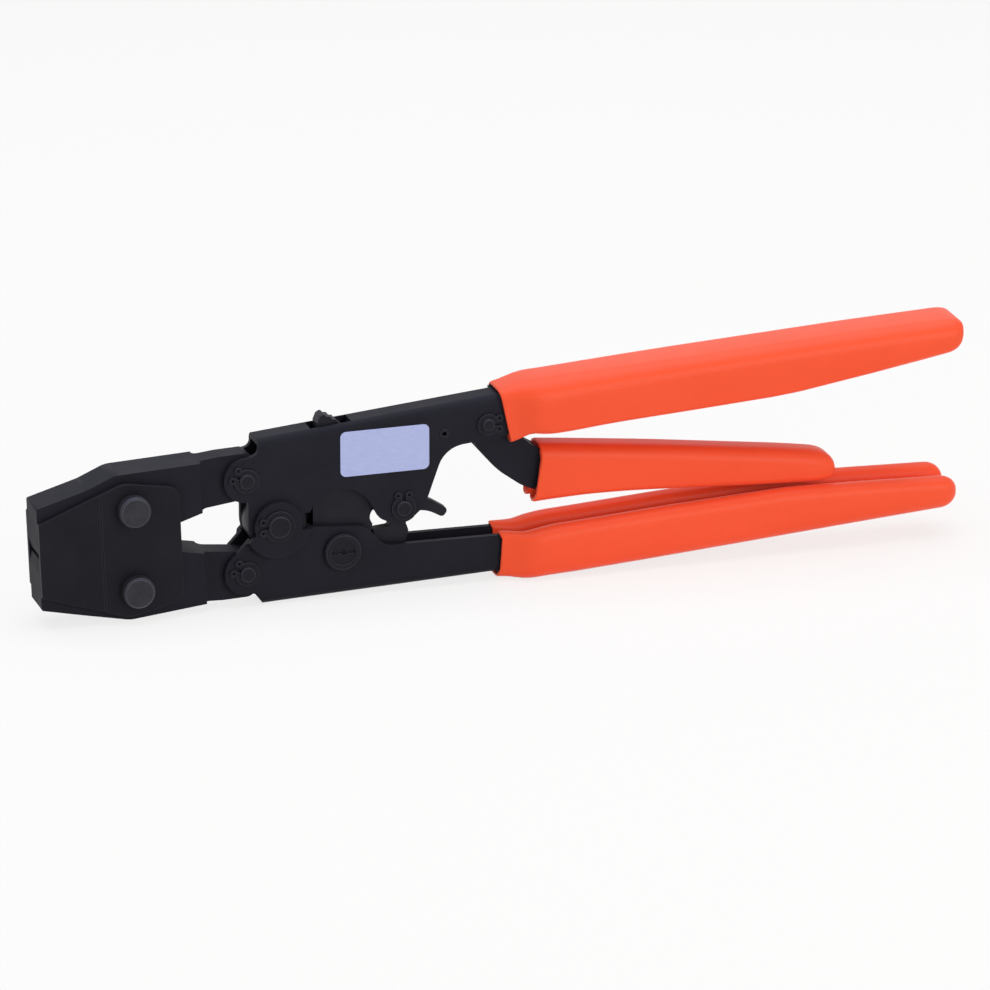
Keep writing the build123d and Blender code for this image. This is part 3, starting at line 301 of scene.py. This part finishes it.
def make_lever_grip():
    """Dipped grip of the squeeze lever, open at its mouth, with a flared hem at its foot."""
    start, end = 92.4, LEVER_ENDS[1]
    crest = [(start, 3.0), (104, 3.2), (120, 3.35), (134, 3.45), (GRIP_BEND, 3.1), (186, 2.9), (end, 2.4)]
    cover = soft_line(crest, 4.0)
    under = [(90, -2.2), (97, -1.6), (104, -1.1), (112, -1.05)]
    under += [(126, -1.4), (148, -2.7), (171, -4.1), (end, -5.3)]
    roof = soft_line([(start, -1.2), (96.6, -1.2), (98, 3.1), (end, 3.1)], 0.8)
    lines = {
        "half": soft_line([(start, 7.0), (end, 6.9)]),
        "top": lambda x: lever_high(x) + cover(x),
        "low": soft_line(under, 6.0),
        "groove": soft_line([(start, 5.2), (96.6, 5.2), (98, 2.0), (end, 2.0)], 0.8),
        "floor": lambda x: lever_high(x) - roof(x),
        "slot": soft_line([(start, 0.9), (96, 0.9), (100, 2.0), (end, 2.0)]),
        "shelf": soft_line([(start, 2.9), (end, 2.4)]),
    }
    corner = soft_line([(start, 4.6), (end, 5.2)])
    foot = soft_line([(-6, -3.0), (-0.5, -2.7), (3.8, -0.8), (6.4, 0.0), (30, 0.0)], 1.0)
    return sleeve("lever_grip_dip", lines, (start, end), corner, foot, 1.6, 9.0, 0.36)


# Springs


def middle(name):
    """Centre of a node's box."""
    low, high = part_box(name)
    return (low + high) / 2


def flex(name):
    """Plain copy of a spring node in its rest shape, shown in place of the hidden node."""
    bpy.context.view_layer.update()
    mesh = nodes[name].data.copy()
    mesh.transform(nodes[name].matrix_world)
    spring = bpy.data.objects.new(name + "_wire", mesh)
    bpy.context.scene.collection.objects.link(spring)
    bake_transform(spring)
    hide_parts(name)


def flex_pawl_spring():
    """Copy of the torsion coil between its anchor leg and the leg on the release finger."""
    flex("pawl_spring")


def flex_lever_spring():
    """Copy of the extension coil between its two hooks."""
    flex("lever_return_spring")


# Material tools


def set_values(target, **values):
    """Set a shader node's inputs, or its own settings; an underscore stands for a space."""
    for key, value in values.items():
        name = key.replace("_", " ")
        if name in target.inputs:
            target.inputs[name].default_value = value
        else:
            setattr(target, key, value)


def node(tree, kind, **values):
    """New shader node with its values set."""
    new = tree.nodes.new("ShaderNode" + kind)
    set_values(new, **values)
    return new


def shader(name):
    """New material, its node tree and its principled shader."""
    material = bpy.data.materials.new(name)
    material.use_nodes = True
    tree = material.node_tree
    return material, tree, tree.nodes["Principled BSDF"]


def calculate(tree, operation, *sources):
    """Output of a math node on sockets and numbers."""
    new = node(tree, "Math", operation=operation)
    for socket, source in zip(new.inputs, sources):
        if isinstance(source, float):
            socket.default_value = source
        else:
            tree.links.new(source, socket)
    return new.outputs["Value"]


def mix(tree, share, first, second):
    """Output of a mix of two shaders."""
    new = node(tree, "MixShader")
    tree.links.new(share, new.inputs["Fac"])
    tree.links.new(first, new.inputs[1])
    tree.links.new(second, new.inputs[2])
    return new.outputs["Shader"]


def ramp(tree, source, rows):
    """Colour from a ramp through rows of (position, colour)."""
    new = node(tree, "ValToRGB")
    for element, (position, colour) in zip(new.color_ramp.elements, rows):
        element.position = position
        element.color = (*colour, 1)
    tree.links.new(source, new.inputs["Fac"])
    return new.outputs["Color"]


def noise(tree, scale, detail=4.0, stretch=(1, 1, 1)):
    """Height of a noise in object space, in cycles per metre."""
    place = node(tree, "TexCoord")
    mapping = node(tree, "Mapping", Scale=stretch)
    texture = node(tree, "TexNoise", Scale=scale, Detail=detail)
    tree.links.new(place.outputs["Object"], mapping.inputs["Vector"])
    tree.links.new(mapping.outputs["Vector"], texture.inputs["Vector"])
    return texture.outputs["Fac"]


def bump(tree, principled, height, strength, distance):
    """Bump from a height."""
    new = node(tree, "Bump", Strength=strength, Distance=distance)
    tree.links.new(height, new.inputs["Height"])
    tree.links.new(new.outputs["Normal"], principled.inputs["Normal"])


def grey(value, tint=(1.0, 1.0, 1.0)):
    """Grey with a slight tint."""
    return tuple(value * t for t in tint)


# Materials


def dark_metal(name, low, high, roughness, specular, metallic=0.0, grain=5200):
    """Blackened steel with a fine tooth and a faint uneven tone."""
    material, tree, p = shader(name)
    set_values(p, Metallic=metallic, Specular_IOR_Level=specular, Specular_Tint=COOL_SHINE)
    patches = noise(tree, 90, 5)
    tone = ramp(tree, patches, [(0.3, grey(low, COOL)), (0.72, grey(high, COOL))])
    tree.links.new(tone, p.inputs["Base Color"])
    rough = ramp(tree, patches, [(0.25, grey(roughness - 0.06)), (0.75, grey(roughness + 0.07))])
    tree.links.new(rough, p.inputs["Roughness"])
    bump(tree, p, noise(tree, grain, 3), 0.22, 0.00006)
    return material


def turned_steel(name, centres):
    """Bare rivet ends with turning rings about their own centres."""
    material, tree, p = shader(name)
    set_values(p, Metallic=0.2, Specular_IOR_Level=0.22, Roughness=0.42, Anisotropic=0.4)
    tone = ramp(tree, noise(tree, 260, 6), [(0.3, (0.024, 0.0235, 0.028)), (0.7, (0.036, 0.035, 0.041))])
    tree.links.new(tone, p.inputs["Base Color"])
    place = node(tree, "TexCoord")
    flat = node(tree, "VectorMath", operation="MULTIPLY")
    flat.inputs[1].default_value = (1, 0, 1)
    tree.links.new(place.outputs["Object"], flat.inputs[0])
    distances = []
    for centre in centres:
        away = node(tree, "VectorMath", operation="DISTANCE")
        away.inputs[1].default_value = (centre.x, 0, centre.z)
        tree.links.new(flat.outputs["Vector"], away.inputs[0])
        distances.append(away.outputs["Value"])
    nearest = calculate(tree, "MINIMUM", *distances)
    turns = calculate(tree, "MULTIPLY", nearest, 2 * pi / (TURNING_PITCH * MM))
    bump(tree, p, calculate(tree, "SINE", turns), 0.25, 0.00004)
    return material


def vinyl(name):
    """Soft dipped vinyl with an orange-peel skin."""
    material, tree, p = shader(name)
    set_values(p, Roughness=0.42, Specular_IOR_Level=0.22, Sheen_Weight=0.08, Sheen_Roughness=0.5)
    patches = noise(tree, 38, 4, (0.5, 1, 1))
    tone = ramp(tree, patches, [(0.25, (0.94, 0.082, 0.021)), (0.75, (0.99, 0.098, 0.029))])
    tree.links.new(tone, p.inputs["Base Color"])
    bump(tree, p, noise(tree, 1500, 3), 0.18, 0.00012)
    return material


def foil(name):
    """Blank satin label."""
    material, tree, p = shader(name)
    set_values(p, Roughness=0.38)
    patches = noise(tree, 400, 4, (1, 1, 6))
    tone = ramp(tree, patches, [(0.3, (0.41, 0.46, 0.74)), (0.7, (0.46, 0.51, 0.80))])
    tree.links.new(tone, p.inputs["Base Color"])
    bump(tree, p, noise(tree, 3000, 2), 0.1, 0.00004)
    return material


def paint(obj, *materials):
    """Give an object these materials alone."""
    obj.data.materials.clear()
    for material in materials:
        obj.data.materials.append(material)


def dress_metal(obj, material, wear_and_painted_highlight, width):
    """Finish for a carried-over node, with slightly broken edges of a width in millimetres, coloured lighter:
    partly wear, partly a painted highlight.
    """
    paint(obj, material, wear_and_painted_highlight)
    weld = obj.modifiers.new("join", "WELD")
    weld.merge_threshold = 1e-6
    flat = obj.modifiers.new("flat", "DECIMATE")
    flat.decimate_type = "DISSOLVE"
    flat.angle_limit = radians(0.6)
    edge = obj.modifiers.new("edge", "BEVEL")
    edge.width = width * MM
    edge.segments = 3
    # The bevel faces take the second, lighter material: partly wear, partly a painted highlight.
    edge.material = 1
    edge.limit_method = "ANGLE"
    edge.angle_limit = radians(38)
    edge.use_clamp_overlap = True
    edge.harden_normals = True


def dress_nodes():
    """Finish every metal node and the label by its material slot."""
    phosphate = dark_metal("phosphate_steel", 0.0120, 0.0165, 0.56, 0.09)
    pins = dark_metal("dark_pin_steel", 0.0075, 0.0115, 0.48, 0.14, grain=4200)
    ratchet = dark_metal("ratchet_steel", 0.0085, 0.0135, 0.46, 0.16, grain=3800)
    # Lighter finishes for bevelled edges: partly wear, partly a painted highlight where light would catch the
    # edges.
    wear_and_painted_highlight = dark_metal("wear_and_painted_highlight_edge", 0.0160, 0.0220, 0.48, 0.15)
    pin_wear_and_painted_highlight = dark_metal("pin_wear_and_painted_highlight", 0.0300, 0.0420, 0.42, 0.24)
    rivet_wear_and_painted_highlight = dark_metal("rivet_wear_and_painted_highlight_edge", 0.0450, 0.0700, 0.40, 0.30)
    plate = dark_metal("plate_steel", 0.0064, 0.0094, 0.50, 0.14)
    spring = dark_metal("spring_steel", 0.18, 0.28, 0.30, 0.5, 1.0)
    label = foil("label_foil")
    rivets = turned_steel("rivet_steel", [middle(n) for n in ("upper_jaw_rivet", "lower_jaw_rivet")])
    finishes = {
        "phosphate_steel": (phosphate, wear_and_painted_highlight, 0.25),
        "dark_pin_steel": (pins, pin_wear_and_painted_highlight, 0.12),
        "ratchet_steel": (ratchet, wear_and_painted_highlight, 0.12),
        "rivet_steel": (rivets, rivet_wear_and_painted_highlight, 0.15),
        "label_foil": (label, label, 0.08),
    }
    for part in frame["record"]["subparts"]:
        name, slot = part["node"], part["material_slot"]
        if name in ("jaw_plate_near", "jaw_plate_far"):
            dress_metal(nodes[name], plate, wear_and_painted_highlight, PLATE_EDGE)
        elif slot == "spring_steel":
            paint(nodes[name], spring)
        elif slot in finishes:
            dress_metal(nodes[name], *finishes[slot])


def fit_grips():
    """Put each dipped grip in the place of its plain solid."""
    orange = vinyl("orange_vinyl")
    for make, body, name in (
        (make_upper_grip, "upper_frame", "upper_grip"),
        (make_lower_grip, "lower_handle", "lower_grip"),
        (make_lever_grip, "squeeze_lever", "lever_grip"),
    ):
        grip = make()
        paint(grip, orange)
        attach(grip, body)
        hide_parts(name)


# Stage


def seen_directly(tree):
    """One for rays from the camera and for mirrored or refracted ones, nought for the rest."""
    path = node(tree, "LightPath")
    bounced = calculate(tree, "MAXIMUM", path.outputs["Is Glossy Ray"], path.outputs["Is Transmission Ray"])
    return calculate(tree, "MAXIMUM", path.outputs["Is Camera Ray"], bounced)


def make_floor():
    """Pale floor that takes the shadow and is clear enough to show the surround, and an opened handle."""
    mesh = bpy.data.meshes.new("floor")
    corners = [(-1, -1), (1, -1), (1, 1), (-1, 1)]
    mesh.from_pydata([(x * FLOOR_SIZE, y * FLOOR_SIZE, 0) for x, y in corners], [], [(0, 1, 2, 3)])
    floor = bpy.data.objects.new("floor", mesh)
    floor.location.z = -FLOOR_DROP
    bpy.context.scene.collection.objects.link(floor)
    material, tree, p = shader("floor_paper")
    set_values(p, Base_Color=(0.95, 0.91, 0.80, 1), Roughness=0.9, Specular_IOR_Level=0.1)
    clear = node(tree, "BsdfTransparent")
    share = calculate(tree, "MULTIPLY", seen_directly(tree), FLOOR_CLEAR)
    surface = mix(tree, share, p.outputs["BSDF"], clear.outputs["BSDF"])
    tree.links.new(surface, tree.nodes["Material Output"].inputs["Surface"])
    paint(floor, material)


def make_world():
    """Even surround, white where it is seen or mirrored."""
    world = bpy.data.worlds.new("surround")
    bpy.context.scene.world = world
    world.use_nodes = True
    tree = world.node_tree
    tree.nodes.clear()
    out = node(tree, "OutputWorld")
    fill = node(tree, "Background", Color=(0.93, 0.95, 1.0, 1), Strength=0.28)
    seen = node(tree, "Background", Color=(1, 1, 1, 1), Strength=1.0)
    surface = mix(tree, seen_directly(tree), fill.outputs["Background"], seen.outputs["Background"])
    tree.links.new(surface, out.inputs["Surface"])


def make_light(name, place, target, size, power, colour=(1, 1, 1)):
    """Rectangular softbox aimed at a point."""
    data = bpy.data.lights.new(name, "AREA")
    data.shape = "RECTANGLE"
    data.size, data.size_y = size
    data.energy = power
    data.color = colour
    light = bpy.data.objects.new(name, data)
    light.location = place
    light.rotation_euler = (Vector(target) - Vector(place)).to_track_quat("-Z", "Y").to_euler()
    bpy.context.scene.collection.objects.link(light)


def make_camera():
    """Long lens at the photograph's viewing angle."""
    azimuth, elevation = radians(AZIMUTH), radians(ELEVATION)
    back = Vector((sin(azimuth) * cos(elevation), -cos(azimuth) * cos(elevation), sin(elevation)))
    right = Vector((cos(azimuth), sin(azimuth), 0))
    up = back.cross(right)
    data = bpy.data.cameras.new("camera")
    data.sensor_width = 36.0
    data.lens = data.sensor_width / 2 / tan(radians(VIEW_ANGLE / 2))
    data.clip_end = 50
    camera = bpy.data.objects.new("camera", data)
    camera.matrix_world = Matrix((right, up, back)).transposed().to_4x4()
    camera.location = CAMERA_PLACE
    bpy.context.scene.collection.objects.link(camera)
    bpy.context.scene.camera = camera


dress_nodes()
fit_grips()
flex_pawl_spring()
flex_lever_spring()
make_floor()
make_world()
make_light("overhead", (0.0, 0.1, 1.5), (0, 0, 0.03), (1.8, 1.6), 19.5, (0.91, 0.955, 1.13))
make_light("left", (-1.3, -0.5, 0.7), (-0.05, 0, 0.03), (0.9, 0.9), 1.5, (0.76, 0.84, 1.1))
make_light("front_right", (0.7, -1.7, 0.7), (0, 0, 0.03), (1.4, 0.9), 13.5)
make_camera()
bpy.context.scene.view_settings.view_transform = "Standard"
